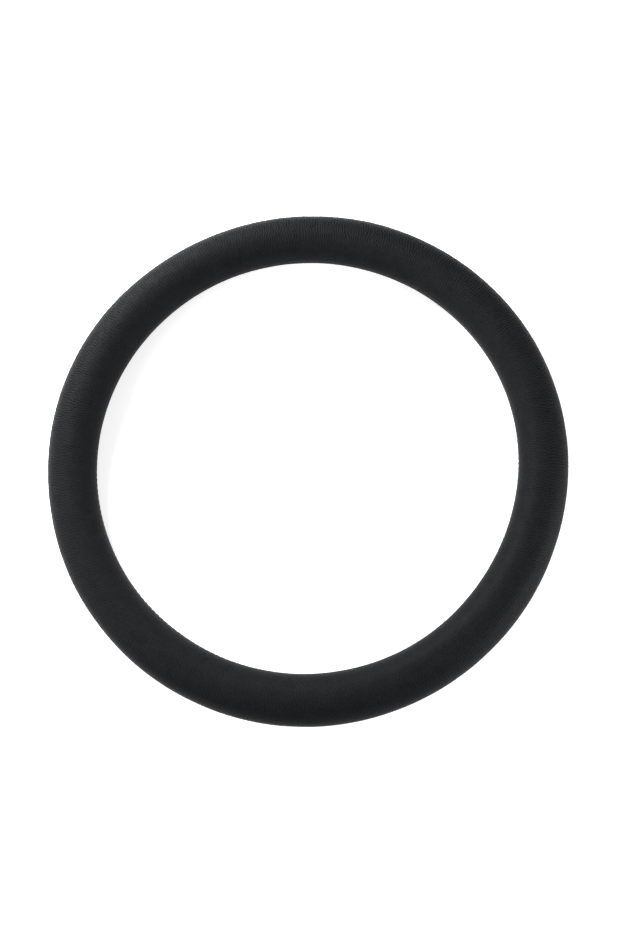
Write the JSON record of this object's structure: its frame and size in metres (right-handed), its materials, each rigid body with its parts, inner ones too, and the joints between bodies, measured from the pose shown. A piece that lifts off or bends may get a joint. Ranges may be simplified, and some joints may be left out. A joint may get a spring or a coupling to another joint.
{
  "type": "steering wheel cover",
  "caption": "Slip-on steering wheel cover: a C-section moulded rubber ring dressed in one smooth black leather skin, open round its back for the rim of the wheel.",
  "frame": {"origin": "centre of the ring, on the surface that the cover lies on", "axes": "+Z along the ring's axis, out of the face that the driver sees; +X to the right and +Y to the top as the driver sees it"},
  "size_m": [0.38, 0.38, 0.0349],
  "materials": {
    "leather": "matte black microfibre leather with a fine pebble grain and soft creases across the tube",
    "rubber": "dull black moulded rubber",
    "thread": "black bonded sewing thread, slightly waxy"
  },
  "bodies": {
    "root": {"leather_skin": "leather", "rubber_ring": "rubber", "front_needle_thread": "thread", "front_bobbin_thread": "thread", "rear_needle_thread": "thread", "rear_bobbin_thread": "thread"}
  },
  "joints": []
}
